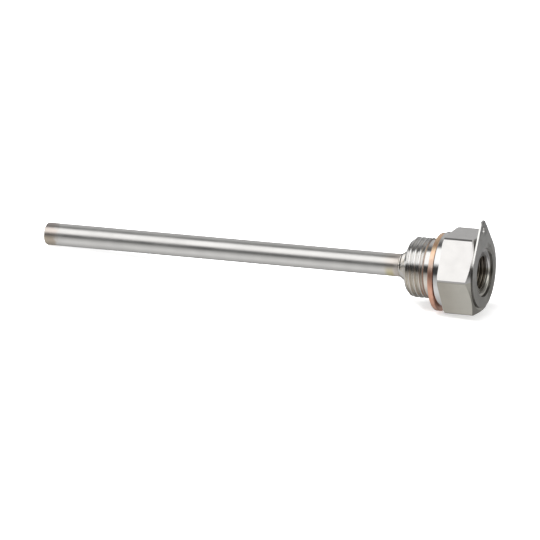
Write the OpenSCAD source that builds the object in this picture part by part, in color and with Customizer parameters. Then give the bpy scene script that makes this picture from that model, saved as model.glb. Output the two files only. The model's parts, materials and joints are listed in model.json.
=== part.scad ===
// Screw-in thermowell: a turned hexagon head with a parallel process thread, a welded-on
// protection tube with a closed tip, a loose copper sealing ring and a seal tab plate.
// The axis of the well is X. The origin is the centre of the sealing face; the tube points
// to -X, the sensor socket opens to +X and one flat of the hexagon faces straight down.
// All sizes are in millimetres. Radii and positions along X are given as (radius, x).

/* [Protection tube] */
// Insertion length, from the sealing face to the closed tip
insertion_length = 150; // [60:5:400]
// Outside diameter of the protection tube
tube_d = 8; // [6:0.5:9]
// Wall thickness of the protection tube
tube_wall = 1; // [0.6:0.1:1.4]
// Radius of the rounded rim at the tip
tip_round = 0.5; // [0.2:0.1:0.6]
// Length of the plug that closes the tip
plug_length = 3; // [1.5:0.5:6]
// Depth of the tube's socket in the head
tube_socket_depth = 9; // [6:0.5:9]

/* [Weld at the neck] */
// Length of the weld fillet along the tube
weld_leg_axial = 4; // [2:0.1:8]
// Height of the weld fillet up the end face
weld_leg_radial = 3.2; // [1.5:0.1:4]
// Hollow of the fillet below its straight chord
weld_hollow = 0.2; // [0.1:0.05:0.6]

/* [Process thread] */
// Major diameter of the process thread, G 1/2
thread_d = 20.955; // [20.5:0.005:21.2]
// Distance from the sealing face to the end of the thread
thread_length = 12.1; // [11:0.5:20]
// Diameter of the end face, below the thread's root
thread_end_d = 18; // [17:0.25:18.5]
// Diameter of the plain relief under the head
relief_d = 20; // [18.6:0.1:20.2]
// Length of the plain relief under the head
relief_length = 4.5; // [3:0.1:7]

/* [Head] */
// Width of the hexagon across its flats
hex_af = 27; // [26:0.5:32]
// Length of the whole head, collar and hexagon
head_length = 13.7; // [10:0.5:20]
// Diameter of the turned collar that carries the sealing face
collar_d = 26; // [25:0.25:26]
// Length of the turned collar
collar_length = 2.1; // [1.5:0.1:4]
// Diameter of the flat end face inside the chamfer
end_face_d = 25.7; // [25.2:0.1:25.9]
// Angle of the end chamfer from the end face
end_chamfer_angle = 25; // [15:1:35]

/* [Sensor socket] */
// Minor diameter of the female sensor thread, G 1/4
socket_d = 11.445; // [11:0.005:12]
// Depth of the female thread from the end face
socket_depth = 14; // [8:0.5:14]
// Mouth diameter of the shallow turned seat
seat_d = 15.6; // [14:0.1:16.2]
// Angle of the seat from the end face
seat_angle = 12; // [5:1:20]
// Point angle of the drill that ends the socket
drill_point_angle = 118; // [110:1:140]
// Clearance of the drilled passage around the tube's bore, on the diameter
passage_clearance = 0.5; // [0.4:0.05:0.8]

/* [Sealing ring] */
// Inside diameter of the copper ring
ring_bore_d = 22; // [21.5:0.1:23]
// Outside diameter of the copper ring
ring_od = 27; // [26:0.1:28]
// Thickness of the copper ring
ring_thickness = 1.5; // [1:0.1:2]
// Edge break on the ring's outer and inner corners
ring_edge = 0.15; // [0.05:0.05:0.3]
// Gap between the ring and the sealing face
ring_stand_off = 0.4; // [0.1:0.1:1]
// Gap between the ring's bore and the relief where the ring hangs on it
ring_hang_gap = 0.02; // [0.01:0.01:0.05]

/* [Seal tab plate] */
// Diameter of the plate's round body
plate_d = 25; // [24:0.1:25.5]
// Diameter of the plate's central hole
plate_hole_d = 17; // [16.5:0.1:19]
// Thickness of the plate
plate_thickness = 0.65; // [0.5:0.05:1.5]
// Distance from the axis to the centre of the tab's rounded tip
tab_reach = 16; // [15:0.1:20]
// Radius of the tab's rounded tip
tab_tip_r = 2.9; // [2.2:0.1:3.5]
// Distance from the axis to the seal wire hole
tab_hole_reach = 15.4; // [14:0.1:15.5]
// Diameter of the seal wire hole
tab_hole_d = 2; // [1.2:0.1:2.4]
// Lean of the tab from straight up, towards -Y
tab_lean = 3.4; // [0:0.1:15]

/* [Hidden] */
// Circle resolution of the preview, and how far a cutter runs past the face that it cuts.
$fn = 96;
past = 1;

steel = [0.70, 0.70, 0.69];
bright_steel = [0.80, 0.80, 0.79];
weld_steel = [0.62, 0.59, 0.55];
dark_steel = [0.50, 0.50, 0.50];
copper = [0.78, 0.46, 0.32];

// Tube and its bore, from the plug at the tip to the bottom of the head's socket.
tube_r = tube_d / 2;
bore_r = tube_r - tube_wall;
tip_x = -insertion_length;
plug_end_x = tip_x + plug_length;
thread_end_x = -thread_length;
tube_end_x = thread_end_x + tube_socket_depth;
passage_r = bore_r + passage_clearance / 2;

// Weld fillet: its two toes, and the circle that hollows the chord between them.
weld_toe = [tube_r, thread_end_x - weld_leg_axial];
weld_top = [tube_r + weld_leg_radial, thread_end_x];
weld_chord = norm(weld_top - weld_toe);
weld_hollow_r = (weld_chord * weld_chord / 4 + weld_hollow * weld_hollow) / (2 * weld_hollow);
weld_out = [weld_leg_axial, -weld_leg_radial] / weld_chord;
weld_hollow_centre = (weld_toe + weld_top) / 2 + weld_out * (weld_hollow_r - weld_hollow);

// Process thread, with 45 degree slopes to its end face and to the relief.
thread_r = thread_d / 2;
relief_r = relief_d / 2;
end_slope = thread_r - thread_end_d / 2;
relief_slope = thread_r - relief_r;

// Hexagon, cut by the cone of its end chamfer.
hex_corner_r = hex_af / 2 / cos(30);
end_face_r = end_face_d / 2;
chamfer_drop = (hex_corner_r - end_face_r) * tan(end_chamfer_angle);

// Sensor socket, from the seat's mouth to the drill point.
socket_r = socket_d / 2;
seat_r = seat_d / 2;
seat_depth = (seat_r - socket_r) * tan(seat_angle);
socket_end_x = head_length - socket_depth;
drill_point_length = (socket_r - passage_r) / tan(drill_point_angle / 2);

// The ring hangs on the relief by the top of its bore.
ring_drop = (ring_bore_d - relief_d) / 2 - ring_hang_gap;
ring_start_x = -ring_stand_off - ring_thickness;

// Angle of the tab's straight sides, which run from the plate's body to its tip. They lie
// this far inside the common tangent, so that they cross both circles.
tab_half_angle = asin((plate_d / 2 - tab_tip_r) / tab_reach);
tangent_inset = 0.003;

// Stands a shape drawn in the (Y, Z) plane at x, so that its own height runs along +X.
module across_axis(x = 0) {
    translate([x, 0, 0]) rotate([90, 0, 90]) children();
}

// A round solid about the axis, from an outline of (radius, x) points.
module turned(outline) {
    across_axis() rotate_extrude() polygon(outline);
}

// Outside of the process thread, the relief and the collar.
module turned_outside() {
    turned([
        [0, thread_end_x],
        [thread_end_d / 2, thread_end_x],
        [thread_r, thread_end_x + end_slope],
        [thread_r, -relief_length - relief_slope],
        [relief_r, -relief_length],
        [relief_r, 0],
        [collar_d / 2, 0],
        [collar_d / 2, collar_length + past],
        [0, collar_length + past],
    ]);
}

// Hexagon with two flats level, its corners cut back by the end chamfer.
module chamfered_hexagon() {
    intersection() {
        across_axis(collar_length)
            cylinder(r = hex_corner_r, h = head_length - collar_length, $fn = 6);
        turned([
            [0, 0],
            [hex_corner_r + past, 0],
            [hex_corner_r + past, head_length - chamfer_drop - past * tan(end_chamfer_angle)],
            [end_face_r, head_length],
            [0, head_length],
        ]);
    }
}

// Seat, threaded hole at its minor diameter, drill point, passage and the tube's socket.
module bored_inside() {
    turned([
        [0, thread_end_x - past],
        [tube_r, thread_end_x - past],
        [tube_r, tube_end_x],
        [passage_r, tube_end_x],
        [passage_r, socket_end_x - drill_point_length],
        [socket_r, socket_end_x],
        [socket_r, head_length - seat_depth],
        [seat_r, head_length],
        [seat_r, head_length + past],
        [0, head_length + past],
    ]);
}

module head_body() {
    color(steel)
        difference() {
            union() {
                turned_outside();
                chamfered_hexagon();
            }
            bored_inside();
        }
}

// Straight open tube from the plug into the head.
module protection_tube() {
    color(bright_steel)
        turned([
            [bore_r, plug_end_x],
            [tube_r, plug_end_x],
            [tube_r, tube_end_x],
            [bore_r, tube_end_x],
        ]);
}

// Solid plug butt-welded to the tube and ground flush, its rim rounded at the tip.
module tip_plug() {
    color(weld_steel)
        across_axis(tip_x) rotate_extrude() {
            square([tube_r - tip_round, plug_length]);
            translate([0, tip_round]) square([tube_r, plug_length - tip_round]);
            intersection() {
                translate([tube_r - tip_round, tip_round]) circle(tip_round);
                translate([tube_r - tip_round, 0]) square(tip_round);
            }
        }
}

// Concave fillet between the tube and the head's end face.
module neck_weld() {
    color(weld_steel)
        across_axis() rotate_extrude()
            difference() {
                polygon([weld_toe, [tube_r, thread_end_x], weld_top]);
                translate(weld_hollow_centre) circle(weld_hollow_r);
            }
}

// Flat ring with broken edges, hanging below the axis on the relief.
module sealing_ring() {
    inner = ring_bore_d / 2;
    outer = ring_od / 2;
    end_x = ring_start_x + ring_thickness;
    color(copper)
        translate([0, 0, -ring_drop])
            turned([
                [inner + ring_edge, ring_start_x],
                [outer - ring_edge, ring_start_x],
                [outer, ring_start_x + ring_edge],
                [outer, end_x - ring_edge],
                [outer - ring_edge, end_x],
                [inner + ring_edge, end_x],
                [inner, end_x - ring_edge],
                [inner, ring_start_x + ring_edge],
            ]);
}

// Outline of the plate: round body, rounded tip and the straight sides between them.
module plate_outline() {
    // Where a straight side meets a circle of radius r, on the side of the tab given by s.
    function touch(r, s) = (r - tangent_inset) * [s * cos(tab_half_angle), sin(tab_half_angle)];
    tip = [0, tab_reach];
    circle(plate_d / 2);
    translate(tip) circle(tab_tip_r);
    polygon([
        [0, 0],
        touch(plate_d / 2, 1),
        tip + touch(tab_tip_r, 1),
        tip + touch(tab_tip_r, -1),
        touch(plate_d / 2, -1),
    ]);
}

module seal_tab_plate() {
    color(dark_steel)
        across_axis(head_length) rotate([0, 0, tab_lean])
            linear_extrude(plate_thickness)
                difference() {
                    plate_outline();
                    circle(plate_hole_d / 2);
                    translate([0, tab_hole_reach]) circle(tab_hole_d / 2);
                }
}

head_body();
protection_tube();
tip_plug();
neck_weld();
sealing_ring();
seal_tab_plate();
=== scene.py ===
"""Looks of the thermowell: threaded head, ground tube, copper ring and stamped plate in a light tent.

Lengths are in metres, as in the frame. The axis of the well is X, the tube points to -X and Z is up.
An angle about the axis starts at +Y and turns towards +Z.
"""

import json
import math

import bmesh
import bpy
import numpy as np
from mathutils import Matrix, Vector


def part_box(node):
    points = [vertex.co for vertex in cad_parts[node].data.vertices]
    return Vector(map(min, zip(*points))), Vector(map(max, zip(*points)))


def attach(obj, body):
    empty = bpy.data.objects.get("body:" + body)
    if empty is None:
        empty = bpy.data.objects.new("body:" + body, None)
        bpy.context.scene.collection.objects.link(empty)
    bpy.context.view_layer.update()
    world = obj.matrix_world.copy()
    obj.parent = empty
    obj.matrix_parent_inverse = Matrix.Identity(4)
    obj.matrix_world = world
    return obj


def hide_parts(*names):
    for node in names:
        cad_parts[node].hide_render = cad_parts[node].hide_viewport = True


MM = 0.001

# ---------------------------------------------------------------- sizes that the frame leaves out
COLLAR_R = 13.0 * MM
COLLAR_LENGTH = 2.1 * MM
RELIEF_R = 10.0 * MM
RELIEF_LENGTH = 4.5 * MM
THREAD_END_R = 9.0 * MM
END_FACE_R = 12.85 * MM
END_CHAMFER_SLOPE = math.tan(math.radians(25))
SEAT_R = 7.8 * MM
SEAT_SLOPE = math.tan(math.radians(12))
PASSAGE_R = 3.25 * MM
TUBE_SOCKET_BOTTOM_X = -3.1 * MM
DRILL_HALF_ANGLE = math.radians(59)
PROCESS_PITCH = 25.4 / 14 * MM
SENSOR_PITCH = 25.4 / 19 * MM
WHITWORTH_DEPTH = 0.640327
THREAD_CHAMFER = 0.25 * MM
THREAD_FADE = 0.9 * MM
# The crests of the male thread are cut flat by this much, as the bar's turned diameter leaves them.
CREST_CUT = 0.15 * MM
# Where a crest of the process thread crosses the angle 0.
THREAD_START_X = -7.09 * MM

WELD_HOLLOW = 0.2 * MM
WELD_RIPPLE_DEPTH = 0.04 * MM
WELD_RIPPLES = 44
WELD_SWEEP = 0.35

TAB_REACH = 16.0 * MM
TAB_TIP_R = 2.9 * MM
PLATE_R = 12.5 * MM
PLATE_HOLE_R = 8.5 * MM
RING_BORE_R = 11.0 * MM
# The loose plate lies a little off the axis.
PLATE_CENTRE = Vector((-0.15, 0.4)) * MM
PLATE_HOLE_CENTRE = Vector((0.2, 0.1)) * MM

# Rounding of edges that are sharp in the solids.
TURNED_EDGE = 0.12 * MM
HEX_CORNER_R = 15.32 * MM
HEX_BACK_R = 14.6 * MM
RELIEF_FILLET = 0.3 * MM
FINE_EDGE = 0.1 * MM
SEAT_EDGE = 0.05 * MM
# The hexagon's back is cut by at least this much between its corners too.
LEAST_BACK_CUT = 0.06 * MM
RING_EDGE = 0.22 * MM
# Soft copper pressed out towards the collar.
RING_LIP = 0.2 * MM
PLATE_EDGE = 0.08 * MM

# ---------------------------------------------------------------- camera, fitted to the object
CAMERA_AZIMUTH = math.radians(21.77)
CAMERA_ELEVATION = math.radians(15.80)
CAMERA_ROLL = math.radians(-0.952)
CAMERA_TARGET = Vector((-64.865, 0.0, -6.179)) * MM
CAMERA_DISTANCE = 1608.17 * MM
CAMERA_LENS = 306.3
SENSOR_WIDTH = 36.0
CAMERA_SHIFT_X = -0.5 / 540
CAMERA_SHIFT_Y = 0.5 / 540


# ================================================================ small helpers
def node(tree, kind, inputs=(), **settings):
    """Adds a shader node. Inputs are (socket, value or output) pairs."""
    made = tree.nodes.new("ShaderNode" + kind)
    for key, value in settings.items():
        setattr(made, key, value)
    for socket, value in inputs:
        if isinstance(value, bpy.types.NodeSocket):
            tree.links.new(value, made.inputs[socket])
        else:
            made.inputs[socket].default_value = value
    return made


def math_node(tree, operation, *values):
    """A math node's output."""
    return node(tree, "Math", list(enumerate(values)), operation=operation).outputs[0]


def ramp(tree, value, stops):
    """A colour ramp's output. Stops are (position, colour) pairs; a number is a grey."""
    made = node(tree, "ValToRGB", [(0, value)])
    ends = made.color_ramp
    while len(ends.elements) < len(stops):
        ends.elements.new(0.5)
    for element, (position, colour) in zip(ends.elements, stops):
        element.position = position
        if not isinstance(colour, tuple):
            colour = (colour, colour, colour)
        element.color = (*colour, 1.0)
    return made.outputs[0]


def mix_colour(tree, factor, a, b, blend_type="MIX"):
    """A colour mix's output."""
    made = node(tree, "Mix", data_type="RGBA", blend_type=blend_type)
    for socket, value in ((0, factor), (6, a), (7, b)):
        if isinstance(value, bpy.types.NodeSocket):
            tree.links.new(value, made.inputs[socket])
        elif isinstance(value, tuple):
            made.inputs[socket].default_value = (*value, 1.0)
        else:
            made.inputs[socket].default_value = value
    return made.outputs[2]


def new_object(name, mesh):
    """Links a mesh into the scene as an object."""
    made = bpy.data.objects.new(name, mesh)
    bpy.context.scene.collection.objects.link(made)
    return made


# ================================================================ round pieces
def rounded(points, steps=4):
    """An outline whose corners are arcs. Points are (x, radius, corner radius)."""
    outline = []
    for i, (x, r, corner) in enumerate(points):
        here = Vector((x, r))
        if corner <= 0 or i in (0, len(points) - 1):
            outline.append(here)
            continue
        before = (Vector(points[i - 1][:2]) - here).normalized()
        after = (Vector(points[i + 1][:2]) - here).normalized()
        half = before.angle(after) / 2
        reach = corner / math.tan(half)
        centre = here + (before + after).normalized() * corner / math.sin(half)
        start = here + before * reach - centre
        end = here + after * reach - centre
        turn = start.angle_signed(end)
        for k in range(steps + 1):
            outline.append(centre + Matrix.Rotation(-turn * k / steps, 2) @ start)
    return outline


def turned_mesh(name, angles, columns):
    """A closed grid about the axis: columns[j] is the outline at angles[j], as (x, radius) points."""
    grid = np.array([[tuple(p) for p in column] for column in columns])
    x = grid[:, :, 0]
    y = grid[:, :, 1] * np.cos(angles)[:, None]
    z = grid[:, :, 1] * np.sin(angles)[:, None]
    count, length = x.shape
    vertices = np.stack([x, y, z], axis=-1).reshape(-1, 3)
    faces = []
    for j in range(count):
        after = (j + 1) % count
        for i in range(length):
            k = (i + 1) % length
            faces.append((j * length + i, j * length + k, after * length + k, after * length + i))
    mesh = bpy.data.meshes.new(name)
    mesh.from_pydata(vertices.tolist(), [], faces)
    mesh.shade_smooth()
    mesh.update()
    return mesh


def whitworth_depth(u, pitch):
    """Depth below the crest at a share u of the pitch, for rounded crests and roots."""
    corner = 0.137329 * pitch
    depth = WHITWORTH_DEPTH * pitch
    flank = math.radians(27.5)
    away = np.abs(u - np.round(u)) * pitch
    crest_edge = corner * math.cos(flank)
    root_edge = pitch / 2 - crest_edge
    on_crest = corner - np.sqrt(np.clip(corner**2 - away**2, 0, None))
    on_root = depth - corner + np.sqrt(np.clip(corner**2 - (pitch / 2 - away) ** 2, 0, None))
    on_flank = corner * (1 - math.sin(flank)) + (away - crest_edge) / math.tan(flank)
    return np.where(away < crest_edge, on_crest, np.where(away > root_edge, on_root, on_flank))


def soft_min(a, b, width):
    """The lower of two heights, blended over width where they cross."""
    mix = np.clip(0.5 + (b - a) / (2 * width), 0, 1)
    return b + (a - b) * mix - width * mix * (1 - mix)


def smooth_step(low, high, value):
    """0 below low, 1 above high, smooth between."""
    t = np.clip((value - low) / (high - low), 0, 1)
    return t * t * (3 - 2 * t)


# ================================================================ threaded head
def hex_radius(angle, flat_r):
    """Radius of a hexagon whose corners are cut flat, one of them at angle 0."""
    off = (angle + math.pi / 6) % (math.pi / 3) - math.pi / 6
    return min(flat_r / math.cos(math.pi / 6 - abs(off)), HEX_CORNER_R / math.cos(off))


def head_angles(flat_r):
    """Angles of the head's columns, with one on each side of every edge of the hexagon."""
    edge = math.pi / 6 - math.acos(flat_r / HEX_CORNER_R)
    for _ in range(20):
        edge = math.pi / 6 - math.acos(flat_r * math.cos(edge) / HEX_CORNER_R)
    offsets = [side * (edge + step) for side in (-1, 1) for step in (-0.0012, 0.0012)] + [0.0]
    corners = [c * math.pi / 3 + off for c in range(6) for off in offsets]
    even = [math.tau * k / 240 for k in range(240)]
    even = [a for a in even if min(abs((a - c + math.pi) % math.tau - math.pi) for c in corners) > 0.006]
    return sorted((a + math.tau) % math.tau for a in even + corners)


def process_thread_rows(angle, end_x, thread_r):
    """The male thread's rows at one angle, from the end chamfer to the relief."""
    stop_x = -RELIEF_LENGTH - (thread_r - RELIEF_R)
    xs = np.arange(end_x + THREAD_CHAMFER, -RELIEF_LENGTH - 0.02 * MM, PROCESS_PITCH / 24)
    chamfer = THREAD_END_R + (xs - end_x)
    slope = RELIEF_R + (-RELIEF_LENGTH - xs)
    envelope = np.minimum(np.minimum(chamfer, thread_r), slope)
    turn = (xs - THREAD_START_X) / PROCESS_PITCH - angle / math.tau
    fade = 1 - smooth_step(stop_x - THREAD_FADE, -RELIEF_LENGTH - 0.1 * MM, xs)
    depth = np.maximum(whitworth_depth(turn, PROCESS_PITCH) - CREST_CUT, 0)
    thread = thread_r - depth * fade
    thread = np.where(fade > 0.999, thread, np.maximum(thread, RELIEF_R - (thread_r - RELIEF_R) * fade))
    return list(zip(xs, soft_min(envelope, thread, 0.03 * MM)))


def sensor_thread_rows(angle, mouth_x, bottom_x, minor_r):
    """The female thread's rows at one angle, from the seat down to the drill point."""
    xs = np.arange(mouth_x - 0.02 * MM, bottom_x + 0.05 * MM, -SENSOR_PITCH / 16)
    major_r = minor_r + WHITWORTH_DEPTH * SENSOR_PITCH
    turn = (xs - mouth_x) / SENSOR_PITCH - angle / math.tau + 0.25
    fade = smooth_step(bottom_x + 0.3 * MM, bottom_x + 1.5 * MM, xs)
    groove = minor_r + (major_r - minor_r - whitworth_depth(turn + 0.5, SENSOR_PITCH)) * fade
    return list(zip(xs, np.maximum(groove, minor_r)))


def head_outline(angle, low, high, mounts):
    """The head's closed outline at one angle, from the tube's socket round to the socket again."""
    end_x, face_x = low.x, high.x
    flat_r = high.z
    thread_r = mounts["process_thread"]["dims"]["r_mm"] * MM
    minor_r = mounts["sensor_thread"]["dims"]["r_mm"] * MM
    tube_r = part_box("protection_tube")[1].y
    corner_r = hex_radius(angle, flat_r)
    back_x = COLLAR_LENGTH + max(corner_r - HEX_BACK_R, LEAST_BACK_CUT) * END_CHAMFER_SLOPE
    chamfer_x = face_x - (corner_r - END_FACE_R) * END_CHAMFER_SLOPE
    mouth_x = face_x - (SEAT_R - minor_r) * SEAT_SLOPE
    bottom_x = mouth_x - mounts["sensor_thread"]["dims"]["length_mm"] * MM
    drill_x = bottom_x - (minor_r - PASSAGE_R) / math.tan(DRILL_HALF_ANGLE)
    outside = rounded([
        (end_x, tube_r, 0),
        (end_x, THREAD_END_R, TURNED_EDGE),
        (end_x + THREAD_CHAMFER, THREAD_END_R + THREAD_CHAMFER, 0),
    ])[:-1]
    collar = rounded([
        (-RELIEF_LENGTH, RELIEF_R, 0),
        (0, RELIEF_R, RELIEF_FILLET),
        (0, COLLAR_R, TURNED_EDGE),
        (COLLAR_LENGTH, COLLAR_R, FINE_EDGE),
        (COLLAR_LENGTH, min(HEX_BACK_R, corner_r - LEAST_BACK_CUT), 0),
        (back_x, corner_r, 0),
        (chamfer_x, corner_r, FINE_EDGE),
        (face_x, END_FACE_R, FINE_EDGE),
        (face_x, SEAT_R, SEAT_EDGE),
        (mouth_x, minor_r, 0),
    ])
    inside = [
        (bottom_x, minor_r),
        (drill_x, PASSAGE_R),
        (TUBE_SOCKET_BOTTOM_X, PASSAGE_R),
        (TUBE_SOCKET_BOTTOM_X, tube_r),
    ]
    return (
        [tuple(p) for p in outside]
        + process_thread_rows(angle, end_x, thread_r)
        + [tuple(p) for p in collar]
        + sensor_thread_rows(angle, mouth_x, bottom_x, minor_r)
        + inside
    )


def build_head(mounts):
    """Head with true threads, in the place of the plain solid."""
    low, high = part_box("head_body")
    angles = head_angles(high.z)
    columns = [head_outline(a, low, high, mounts) for a in angles]
    head = new_object("threaded_head", turned_mesh("threaded_head", angles, columns))
    head.modifiers.new("normals", "WEIGHTED_NORMAL").keep_sharp = True
    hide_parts("head_body")
    return head


def build_weld():
    """Weld bead: a hollow fillet with the ripples of a weld that runs round the tube."""
    low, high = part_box("neck_weld")
    tube_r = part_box("protection_tube")[1].y
    top_r = high.y
    angles = [math.tau * k / 288 for k in range(288)]
    columns = []
    for angle in angles:
        outline = [(high.x, tube_r), (low.x, tube_r)]
        for k in range(1, 15):
            t = k / 15
            ripple = abs(math.sin((angle + WELD_SWEEP * t * t) * WELD_RIPPLES / 2)) ** 0.6
            fall = (WELD_HOLLOW + WELD_RIPPLE_DEPTH * (1 - ripple)) * math.sin(math.pi * t) ** 0.7
            x = low.x + (high.x - low.x) * t + fall * 0.62
            r = tube_r + (top_r - tube_r) * t - fall * 0.78
            outline.append((x, max(r, tube_r)))
        outline.append((high.x, top_r))
        columns.append(outline)
    bead = new_object("weld_bead", turned_mesh("weld_bead", angles, columns))
    bead.modifiers.new("normals", "WEIGHTED_NORMAL")
    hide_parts("neck_weld")
    return bead


# ================================================================ ring and plate
def build_ring():
    """Copper ring with softly rounded edges."""
    low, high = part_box("sealing_ring")
    high.x += RING_LIP
    outer = (high.y - low.y) / 2
    centre_z = (high.z + low.z) / 2
    half = Vector((high.x - low.x, outer - RING_BORE_R)) / 2
    middle = Vector(((high.x + low.x) / 2, (outer + RING_BORE_R) / 2))
    corner = Vector((half.x - RING_EDGE, half.y - RING_EDGE))
    outline = []
    for quarter, (sx, sr) in enumerate(((1, 1), (-1, 1), (-1, -1), (1, -1))):
        for k in range(7):
            turn = (quarter + k / 6) * math.pi / 2
            arc = Vector((math.cos(turn), math.sin(turn))) * RING_EDGE
            outline.append(tuple(middle + Vector((sx * corner.x, sr * corner.y)) + arc))
    angles = [math.tau * k / 240 for k in range(240)]
    mesh = turned_mesh("copper_ring", angles, [outline] * len(angles))
    mesh.transform(Matrix.Translation((0, 0, centre_z)))
    mesh.flip_normals()
    ring = new_object("copper_ring", mesh)
    ring.modifiers.new("normals", "WEIGHTED_NORMAL")
    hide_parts("sealing_ring")
    return ring


def circle_points(centre, radius, start=0.0, end=math.tau, count=120, closed=True):
    """Points along an arc in the plate's plane."""
    share = count if closed else count - 1
    return [
        (centre[0] + radius * math.cos(start + (end - start) * k / share),
         centre[1] + radius * math.sin(start + (end - start) * k / share))
        for k in range(count)
    ]


def build_plate(mounts):
    """Stamped plate: a flat curve with three outlines, its edges slightly rounded."""
    low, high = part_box("seal_tab_plate")
    hole = mounts["seal_wire_hole"]
    hole_at = Vector(hole["pos_m"][1:])
    tip = hole_at.normalized() * TAB_REACH
    lean = tip - PLATE_CENTRE
    up = math.atan2(lean.y, lean.x)
    side = math.acos((PLATE_R - TAB_TIP_R) / lean.length)
    inset = PLATE_EDGE
    around = up + math.tau - side
    body = circle_points(PLATE_CENTRE, PLATE_R - inset, up + side, around, 200, closed=False)
    nose = circle_points(tip, TAB_TIP_R - inset, up - side, up + side, 40, closed=False)
    outlines = [
        body + nose,
        circle_points(PLATE_HOLE_CENTRE, PLATE_HOLE_R + inset, count=160),
        circle_points(tuple(hole_at), hole["dims"]["r_mm"] * MM + inset, count=48),
    ]
    curve = bpy.data.curves.new("stamped_plate", "CURVE")
    curve.dimensions = "2D"
    curve.fill_mode = "BOTH"
    curve.extrude = (high.x - low.x) / 2 - inset
    curve.bevel_depth = inset
    curve.bevel_resolution = 2
    for points in outlines:
        spline = curve.splines.new("POLY")
        spline.points.add(len(points) - 1)
        for point, (y, z) in zip(spline.points, points):
            point.co = (y, z, 0, 1)
        spline.use_cyclic_u = True
    flat = new_object("stamped_plate_outline", curve)
    depsgraph = bpy.context.evaluated_depsgraph_get()
    mesh = bpy.data.meshes.new_from_object(flat.evaluated_get(depsgraph))
    bpy.data.objects.remove(flat)
    bpy.data.curves.remove(curve)
    # The curve's (X, Y, Z) become the frame's (Y, Z, X).
    axes = Matrix(((0, 0, 1, (low.x + high.x) / 2), (1, 0, 0, 0), (0, 1, 0, 0), (0, 0, 0, 1)))
    mesh.transform(axes)
    mesh.name = "stamped_plate"
    mesh.shade_smooth()
    plate = new_object("stamped_plate", mesh)
    weld = plate.modifiers.new("weld", "WELD")
    weld.merge_threshold = 0.002 * MM
    plate.modifiers.new("normals", "WEIGHTED_NORMAL")
    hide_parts("seal_tab_plate")
    return plate


# ================================================================ materials
def between(tree, value, low, high):
    """0 below low, 1 above high, smooth between; also the other way round."""
    return node(tree, "MapRange", [
        ("Value", value), ("From Min", low), ("From Max", high),
    ], interpolation_type="SMOOTHSTEP").outputs[0]


def product(tree, a, b):
    """Two masks multiplied."""
    return math_node(tree, "MULTIPLY", a, b)


def from_axis(tree, y, z):
    """Distance from the well's axis."""
    squares = math_node(tree, "ADD", product(tree, y, y), product(tree, z, z))
    return math_node(tree, "SQRT", squares)


def noise(tree, where, scale, detail=3.0, stretch=(1.0, 1.0, 1.0)):
    """Noise, stretched where the factors are small."""
    place = node(tree, "Mapping", [("Vector", where), ("Scale", stretch)]).outputs[0]
    return node(tree, "TexNoise", [("Vector", place), ("Scale", scale), ("Detail", detail)]).outputs[0]


def metal(name, colour, roughness, tint=None, dull_part=None, grain=None, spread=0.03, coat=0.0):
    """A bare metal whose tone and gloss vary a little.

    tint(tree, where, tone) gives the tone, dull_part(tree, where, gloss) the roughness, and
    grain(tree, where) a bump's height and distance.
    """
    made = bpy.data.materials.new(name)
    made.use_nodes = True
    tree = made.node_tree
    tree.nodes.clear()
    where = node(tree, "TexCoord").outputs["Object"]
    cloud = noise(tree, where, 220.0)
    dull = tuple(c * (1 - spread) for c in colour)
    full = tuple(c * (1 + spread) for c in colour)
    tone = ramp(tree, cloud, [(0.35, dull), (0.65, full)])
    if tint:
        tone = tint(tree, where, tone)
    gloss = node(tree, "MapRange", [
        ("Value", noise(tree, where, 90.0)),
        ("From Min", 0.3), ("From Max", 0.7),
        ("To Min", roughness * 0.88), ("To Max", roughness * 1.12),
    ]).outputs[0]
    if dull_part:
        gloss = dull_part(tree, where, gloss)
    shader = node(tree, "BsdfPrincipled", [
        ("Base Color", tone), ("Metallic", 1.0), ("Roughness", gloss),
        ("Coat Weight", coat), ("Coat Roughness", 0.08),
    ])
    if grain:
        height, distance = grain(tree, where)
        bump = node(tree, "Bump", [("Height", height), ("Distance", distance), ("Strength", 1.0)])
        tree.links.new(bump.outputs[0], shader.inputs["Normal"])
    out = node(tree, "OutputMaterial")
    tree.links.new(shader.outputs[0], out.inputs[0])
    return made


def in_socket(tree, y, z):
    """1 in the sensor socket behind its seat, by the distance from the axis."""
    return between(tree, from_axis(tree, y, z), 7.2 * MM, 6.7 * MM)


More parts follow.
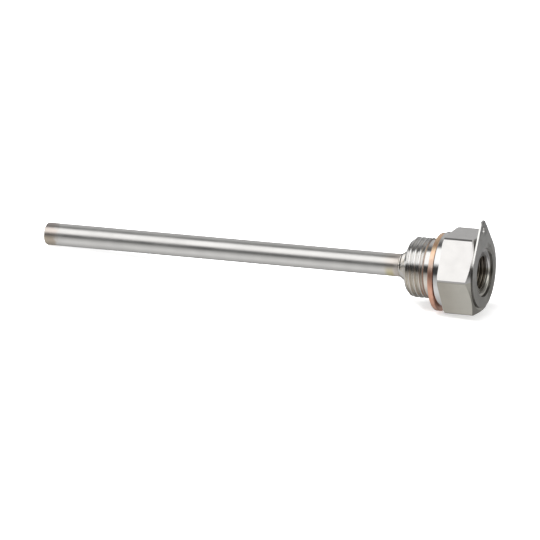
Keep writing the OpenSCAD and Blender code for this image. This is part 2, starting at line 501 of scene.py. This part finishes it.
def head_tint(tree, where, tone):
    """Warm tone with painted shade on the lower half of the thread and relief, painted shade in the
    thread's run-out, on the lower flats and in the socket.
    """
    x, y, z = node(tree, "SeparateXYZ", [(0, where)]).outputs
    # Painted shade: the lower half of the thread and relief is made warmer and darker, the thread most.
    along = between(tree, x, -0.2 * MM, -3.0 * MM)
    below = between(tree, z, 3.5 * MM, 1.0 * MM)
    lower_half_shade = product(tree, along, math_node(tree, "MULTIPLY_ADD", below, 0.85, 0.15))
    on_thread = between(tree, x, -4.4 * MM, -5.0 * MM)
    warm_shade_tone = mix_colour(tree, on_thread, (1.03, 0.98, 0.90), (0.86, 0.82, 0.75))
    tone = mix_colour(tree, lower_half_shade, tone, warm_shade_tone, "MULTIPLY")
    # Painted shade in the crease where the thread runs out into the relief.
    before, after = between(tree, x, -4.3 * MM, -4.5 * MM), between(tree, x, -5.6 * MM, -5.0 * MM)
    tone = mix_colour(tree, product(tree, before, after), tone, (0.80, 0.76, 0.74), "MULTIPLY")
    on_flats = between(tree, x, 2.0 * MM, 2.4 * MM)
    tone = mix_colour(tree, on_flats, tone, (0.935, 0.92, 0.91), "MULTIPLY")
    # Painted shade on the lower flats of the hexagon, darker near the collar and lighter towards the end
    # face; the colour named scale is this painted shade.
    lower_flats_shade = product(tree, on_flats, between(tree, z, 0.2 * MM, -0.3 * MM))
    towards_end = between(tree, x, 3.0 * MM, 12.5 * MM)
    scale = mix_colour(tree, towards_end, (0.72, 0.695, 0.62), (0.88, 0.87, 0.80))
    tone = mix_colour(tree, lower_flats_shade, tone, scale, "MULTIPLY")
    # Painted shade deep in the sensor socket.
    socket_shade = product(tree, in_socket(tree, y, z), between(tree, x, 13.2 * MM, 12.0 * MM))
    return mix_colour(tree, socket_shade, tone, (0.52, 0.48, 0.43), "MULTIPLY")


def thread_dull(tree, where, gloss):
    """Both threads are duller than the faces, and the run-out into the relief duller still."""
    x, y, z = node(tree, "SeparateXYZ", [(0, where)]).outputs
    gloss = math_node(tree, "MULTIPLY_ADD", in_socket(tree, y, z), 0.17, gloss)
    on_thread = between(tree, x, -4.3 * MM, -4.7 * MM)
    run_out = product(tree, on_thread, between(tree, x, -5.6 * MM, -5.0 * MM))
    gloss = math_node(tree, "MULTIPLY_ADD", on_thread, 0.02, gloss)
    return math_node(tree, "MULTIPLY_ADD", run_out, 0.25, gloss)


def tube_tint(tree, where, tone):
    """Heat colours: brown at the closed tip with a painted highlight band and painted shade at its top,
    warm at the neck with a straw patch below.
    """
    x, _, z = node(tree, "SeparateXYZ", [(0, where)]).outputs
    tip_edge = node(tree, "MapRange", [
        ("Value", noise(tree, where, 500.0)), ("To Min", -147.5 * MM), ("To Max", -142.5 * MM),
    ]).outputs[0]
    at_tip = between(tree, math_node(tree, "SUBTRACT", x, tip_edge), 1.5 * MM, -2.0 * MM)
    # By height the tip's heat brown gets a painted highlight band on its upper side and painted shade at
    # its top.
    share = math_node(tree, "MULTIPLY_ADD", z, 0.125 / MM, 0.5)
    heat_brown_and_painted_band = ramp(tree, share, [
        (0.0, (0.70, 0.62, 0.53)), (0.5, (0.70, 0.62, 0.53)), (0.62, (0.95, 0.87, 0.82)),
        (0.80, (0.95, 0.87, 0.82)), (0.92, (0.74, 0.68, 0.66)),
    ])
    tone = mix_colour(tree, at_tip, tone, heat_brown_and_painted_band, "MULTIPLY")
    at_neck = between(tree, x, -24.0 * MM, -17.0 * MM)
    tone = mix_colour(tree, at_neck, tone, (0.97, 0.91, 0.86), "MULTIPLY")
    before, after = between(tree, x, -21.5 * MM, -19.6 * MM), between(tree, x, -17.2 * MM, -18.4 * MM)
    below = between(tree, z, 1.5 * MM, -2.5 * MM)
    patch = product(tree, product(tree, before, after), below)
    return mix_colour(tree, patch, tone, (0.92, 0.88, 0.62), "MULTIPLY")


def neck_dull(tree, where, gloss):
    """Scale left by the weld dulls the end of the tube, most of all below."""
    x, _, z = node(tree, "SeparateXYZ", [(0, where)]).outputs
    before, after = between(tree, x, -18.0 * MM, -16.8 * MM), between(tree, x, -15.8 * MM, -16.1 * MM)
    below = between(tree, z, 0.6 * MM, -0.6 * MM)
    amount = math_node(tree, "MULTIPLY_ADD", below, 0.7, 0.3)
    scale = product(tree, product(tree, before, after), amount)
    return math_node(tree, "MULTIPLY_ADD", scale, 0.35, gloss)


def weld_tint(tree, where, tone):
    """Straw heat colours, and a painted dark band of shade near the bead's toe on its upper half."""
    x, _, z = node(tree, "SeparateXYZ", [(0, where)]).outputs
    # Painted shade: a dark band near the bead's toe on its upper half.
    before, after = between(tree, x, -15.55 * MM, -15.4 * MM), between(tree, x, -14.75 * MM, -14.95 * MM)
    painted_toe_shade = product(tree, product(tree, before, after), between(tree, z, -0.8 * MM, 0.4 * MM))
    tone = mix_colour(tree, painted_toe_shade, tone, (0.14, 0.13, 0.12), "MULTIPLY")
    patches = ramp(tree, noise(tree, where, 900.0), [(0.4, 0.0), (0.6, 1.0)])
    return mix_colour(tree, patches, tone, (0.93, 0.88, 0.80), "MULTIPLY")


def copper_tint(tree, where, tone):
    """Copper with a painted highlight band and a paler painted sheen on its upper half, with stains."""
    height = node(tree, "SeparateXYZ", [(0, where)]).outputs["Z"]
    # By height: a painted pale highlight band a little above the middle and a paler painted sheen at the
    # top.
    share = math_node(tree, "MULTIPLY_ADD", height, 1 / (30 * MM), 0.5)
    painted_sheen = ramp(tree, share, [
        (0.0, (1.0, 1.0, 1.0)), (0.55, (1.0, 1.0, 1.0)), (0.64, (1.0, 1.36, 1.55)),
        (0.70, (1.0, 1.36, 1.50)), (0.82, (1.25, 1.50, 1.38)), (1.0, (1.25, 1.50, 1.38)),
    ])
    tone = mix_colour(tree, 1.0, tone, painted_sheen, "MULTIPLY")
    patches = ramp(tree, noise(tree, where, 350.0), [(0.42, 0.0), (0.62, 1.0)])
    return mix_colour(tree, patches, tone, (0.86, 0.80, 0.76), "MULTIPLY")


def plate_tint(tree, where, tone):
    """Blotched faces, a smear beside the hole, painted light on the upper face and painted shade on the
    lower, and an edge with a painted highlight at the tab and painted shade elsewhere.
    """
    _, y, z = node(tree, "SeparateXYZ", [(0, where)]).outputs
    blotches = ramp(tree, noise(tree, where, 620.0), [(0.40, 1.0), (0.56, 0.0)])
    tip = product(tree, blotches, between(tree, z, 11.5 * MM, 16.0 * MM))
    tone = mix_colour(tree, tip, tone, (0.52, 0.52, 0.52), "MULTIPLY")
    # The edge is given a painted highlight at the tab and painted shade below it.
    level = math_node(tree, "MULTIPLY_ADD", noise(tree, where, 1400.0), -4.0 * MM, z)
    at_tab = between(tree, level, 2.4 * MM, 4.6 * MM)
    painted_edge_tone = mix_colour(tree, at_tab, (0.17, 0.165, 0.155), (0.92, 0.91, 0.88))
    facing = node(tree, "SeparateXYZ", [(0, node(tree, "NewGeometry").outputs["Normal"])]).outputs["X"]
    on_edge = between(tree, math_node(tree, "ABSOLUTE", facing), 0.8, 0.5)
    near_hole = between(tree, from_axis(tree, y, z), 11.0 * MM, 10.0 * MM)
    smear = product(tree, near_hole, between(tree, y, 2.0 * MM, 5.0 * MM))
    smudges = ramp(tree, noise(tree, where, 900.0), [(0.35, 0.35), (0.6, 1.0)])
    smeared = product(tree, smear, smudges)
    tone = mix_colour(tree, smeared, tone, (0.62, 0.61, 0.58), "MULTIPLY")
    # Painted light on the upper face and painted shade on the lower.
    upper = between(tree, z, -6.0 * MM, 5.0 * MM)
    painted_top_light = mix_colour(tree, upper, (0.88, 0.86, 0.81), (1.17, 1.16, 1.14))
    tone = mix_colour(tree, 1.0, tone, painted_top_light, "MULTIPLY")
    return mix_colour(tree, on_edge, tone, painted_edge_tone)


def drawn_grain(tree, where):
    """Fine lines along the well."""
    return noise(tree, where, 2500.0, 2.0, (0.04, 1.0, 1.0)), 0.0016 * MM


def rolled_grain(tree, where):
    """Fine pits and a slow waviness."""
    pits = noise(tree, where, 2600.0, 4.0)
    waves = noise(tree, where, 420.0, 2.0)
    return math_node(tree, "MULTIPLY_ADD", waves, 2.5, pits), 0.006 * MM


def set_material(obj, material):
    """Gives every slot of an object one material."""
    if not obj.data.materials:
        obj.data.materials.append(material)
    for i in range(len(obj.data.materials)):
        obj.data.materials[i] = material


# ================================================================ light tent, floor and camera
# Brightness seen in each direction round the axis, from straight ahead (0) over the top (90).
TENT = [
    (-180, 0.14), (-150, 0.17), (-125, 0.36), (-105, 0.50), (-85, 0.56), (-60, 0.77), (-42, 0.77),
    (-20, 0.55), (-8, 0.32), (-1, 0.05), (20, 0.04), (28, 0.60), (32, 1.23), (79, 1.23), (85, 0.46),
    (90, 0.12), (101, 0.12), (108, 0.22), (116, 0.36), (126, 0.50), (164, 0.52), (172, 0.25),
    (180, 0.14),
]
# Brightness of a ramp's white.
TENT_PEAK = 1.3
# Light that the white floor adds of its own towards the camera.
FLOOR_LIFT = 0.54
# More of it towards the tip, where the floor shows next to no shadow.
TIP_LIFT = 0.20
LAMP_SIZE = 0.7
LAMP_WATTS = 17.0
LAMP_AT = (-0.30, -0.25, 0.9)
# Brightness seen past the socket's end of the well, behind the plate, by the height of the direction.
END_GLOW = [
    (-1.0, 0.20), (-0.5, 0.22), (-0.38, 0.34), (-0.2, 0.29), (-0.10, 0.42), (0.04, 0.36),
    (0.25, 0.22), (1.0, 0.20),
]
# The same close to the axis of the well.
AXIS_GLOW = [
    (-1.0, 0.28), (-0.5, 0.34), (-0.3, 0.50), (-0.23, 0.44), (-0.17, 0.07), (-0.02, 0.07), (0.03, 0.4),
    (0.06, 1.0), (0.09, 1.27), (0.20, 1.27), (0.235, 0.22), (1.0, 0.22),
]
# The same past the closed tip.
TIP_GLOW = [
    (-1.0, 0.45), (-0.3, 0.60), (-0.2, 0.50), (-0.12, 0.10), (0.04, 0.06), (0.10, 0.6), (0.16, 1.2),
    (0.45, 1.2), (0.6, 0.4), (1.0, 0.2),
]


def glow(tree, share, stops, low=-1.0, high=1.0):
    """A ramp of brightness, with stops between low and high."""
    return ramp(tree, share, [((at - low) / (high - low), value / TENT_PEAK) for at, value in stops])


def build_world():
    """World: white behind the object, and for reflections a light tent that varies round the axis."""
    world = bpy.data.worlds.new("light_tent")
    bpy.context.scene.world = world
    world.use_nodes = True
    tree = world.node_tree
    tree.nodes.clear()
    way = node(tree, "SeparateXYZ", [(0, node(tree, "TexCoord").outputs["Generated"])])
    front = math_node(tree, "MULTIPLY", way.outputs["Y"], -1.0)
    turn = math_node(tree, "ARCTAN2", way.outputs["Z"], front)
    share = math_node(tree, "MULTIPLY_ADD", turn, 1 / math.tau, 0.5)
    height = math_node(tree, "MULTIPLY_ADD", way.outputs["Z"], 0.5, 0.5)
    x = way.outputs["X"]
    behind = between(tree, front, 0.15, -0.1)
    past_end = product(tree, between(tree, x, -0.1, 0.15), behind)
    near_axis = between(tree, x, 0.68, 0.85)
    past_tip = product(tree, between(tree, x, -0.60, -0.78), behind)
    end = mix_colour(tree, near_axis, glow(tree, height, END_GLOW), glow(tree, height, AXIS_GLOW))
    seen_there = mix_colour(tree, past_end, glow(tree, share, TENT, -180, 180), end)
    seen_there = mix_colour(tree, past_tip, seen_there, glow(tree, height, TIP_GLOW))
    light = node(tree, "Background", [("Color", seen_there), ("Strength", TENT_PEAK)])
    white = node(tree, "Background", [("Color", (1, 1, 1, 1)), ("Strength", 1.0)])
    seen = node(tree, "LightPath").outputs["Is Camera Ray"]
    mixed = node(tree, "MixShader", [(0, seen), (1, light.outputs[0]), (2, white.outputs[0])])
    out = node(tree, "OutputWorld")
    tree.links.new(mixed.outputs[0], out.inputs[0])


def build_floor():
    """White floor under the ring and the tip. Reflections look through it into the tent."""
    ring_low, ring_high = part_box("sealing_ring")
    tip_low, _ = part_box("tip_plug")
    ring_at = Vector(((ring_low.x + ring_high.x) / 2, 0, ring_low.z))
    tip_at = Vector((tip_low.x, 0, tip_low.z))
    along = (ring_at - tip_at).normalized()
    pitch = math.atan2(along.z, along.x)
    mesh = bpy.data.meshes.new("floor")
    grid = bmesh.new()
    bmesh.ops.create_grid(grid, x_segments=2, y_segments=2, size=6.0)
    grid.to_mesh(mesh)
    grid.free()
    floor = new_object("floor", mesh)
    floor.matrix_world = Matrix.Translation(ring_at) @ Matrix.Rotation(-pitch, 4, "Y")
    made = bpy.data.materials.new("white_floor")
    made.use_nodes = True
    tree = made.node_tree
    tree.nodes.clear()
    matt = node(tree, "BsdfDiffuse", [("Color", (0.8, 0.8, 0.8, 1.0))])
    path = node(tree, "LightPath")
    x = node(tree, "SeparateXYZ", [(0, node(tree, "NewGeometry").outputs["Position"])]).outputs["X"]
    towards_tip = between(tree, x, -15.0 * MM, -50.0 * MM)
    strength = math_node(tree, "MULTIPLY_ADD", towards_tip, TIP_LIFT, FLOOR_LIFT)
    added = node(tree, "Emission", [("Color", (1, 1, 1, 1)), ("Strength", strength)])
    nothing = node(tree, "Emission", [("Strength", 0.0)])
    lift = node(tree, "MixShader", [
        (0, path.outputs["Is Camera Ray"]), (1, nothing.outputs[0]), (2, added.outputs[0]),
    ])
    lit = node(tree, "AddShader", [(0, matt.outputs[0]), (1, lift.outputs[0])])
    clear = node(tree, "BsdfTransparent")
    mixed = node(tree, "MixShader", [
        (0, path.outputs["Is Glossy Ray"]), (1, lit.outputs[0]), (2, clear.outputs[0]),
    ])
    out = node(tree, "OutputMaterial")
    tree.links.new(mixed.outputs[0], out.inputs[0])
    floor.data.materials.append(made)


def build_lights():
    """A broad light above the floor, which the metals don't mirror: the tent lights them."""
    lamp = bpy.data.lights.new("overhead", "AREA")
    lamp.shape = "SQUARE"
    lamp.size = LAMP_SIZE
    lamp.energy = LAMP_WATTS
    above = bpy.data.objects.new("overhead", lamp)
    above.location = LAMP_AT
    above.rotation_euler = Vector(LAMP_AT).to_track_quat("Z", "Y").to_euler()
    above.visible_glossy = False
    bpy.context.scene.collection.objects.link(above)


def build_camera():
    """Long lens that looks down at the sensor socket's side of the well."""
    back = Vector((
        math.sin(CAMERA_AZIMUTH) * math.cos(CAMERA_ELEVATION),
        -math.cos(CAMERA_AZIMUTH) * math.cos(CAMERA_ELEVATION),
        math.sin(CAMERA_ELEVATION),
    ))
    right = Vector((math.cos(CAMERA_AZIMUTH), math.sin(CAMERA_AZIMUTH), 0))
    level = Matrix((right, back.cross(right), back)).transposed()
    turn = level @ Matrix.Rotation(CAMERA_ROLL, 3, "Z")
    data = bpy.data.cameras.new("camera")
    data.lens = CAMERA_LENS
    data.sensor_width = SENSOR_WIDTH
    data.shift_x = CAMERA_SHIFT_X
    data.shift_y = CAMERA_SHIFT_Y
    data.clip_end = 20.0
    camera = bpy.data.objects.new("camera", data)
    camera.matrix_world = Matrix.Translation(CAMERA_TARGET + back * CAMERA_DISTANCE) @ turn.to_4x4()
    bpy.context.scene.collection.objects.link(camera)
    bpy.context.scene.camera = camera


with open("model.json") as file:
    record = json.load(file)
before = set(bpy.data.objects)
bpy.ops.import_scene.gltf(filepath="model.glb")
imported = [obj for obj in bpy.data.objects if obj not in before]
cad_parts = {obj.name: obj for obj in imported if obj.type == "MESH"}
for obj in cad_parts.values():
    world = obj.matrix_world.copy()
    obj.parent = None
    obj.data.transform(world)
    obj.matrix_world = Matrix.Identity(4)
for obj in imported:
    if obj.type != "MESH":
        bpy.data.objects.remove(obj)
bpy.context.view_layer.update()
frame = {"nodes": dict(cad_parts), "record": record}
mounts = {m["name"]: m for m in frame["record"]["mounts"]}
nodes = frame["nodes"]

head = build_head(mounts)
bead = build_weld()
ring = build_ring()
plate = build_plate(mounts)
dressed = ((head, "head_steel"), (bead, "weld_steel"), (ring, "ring_copper"), (plate, "plate_steel"))
for piece, slot in dressed:
    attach(piece, "root")

tube_steel = metal("ground_steel", (0.79, 0.78, 0.76), 0.33, tube_tint, neck_dull, drawn_grain)
turned_steel = metal(
    "turned_steel", (0.80, 0.795, 0.785), 0.13, head_tint, thread_dull, drawn_grain)
set_material(nodes["protection_tube"], tube_steel)
set_material(nodes["tip_plug"], tube_steel)
set_material(bead, metal("weld_steel", (0.76, 0.74, 0.71), 0.12, weld_tint, neck_dull))
set_material(ring, metal("copper", (0.90, 0.50, 0.36), 0.36, copper_tint, coat=0.4))
sheet_steel = metal(
    "sheet_steel", (0.56, 0.56, 0.55), 0.34, plate_tint, grain=rolled_grain, spread=0.08)
set_material(head, turned_steel)
set_material(plate, sheet_steel)

build_world()
build_floor()
build_lights()
build_camera()
bpy.context.scene.view_settings.view_transform = "Standard"
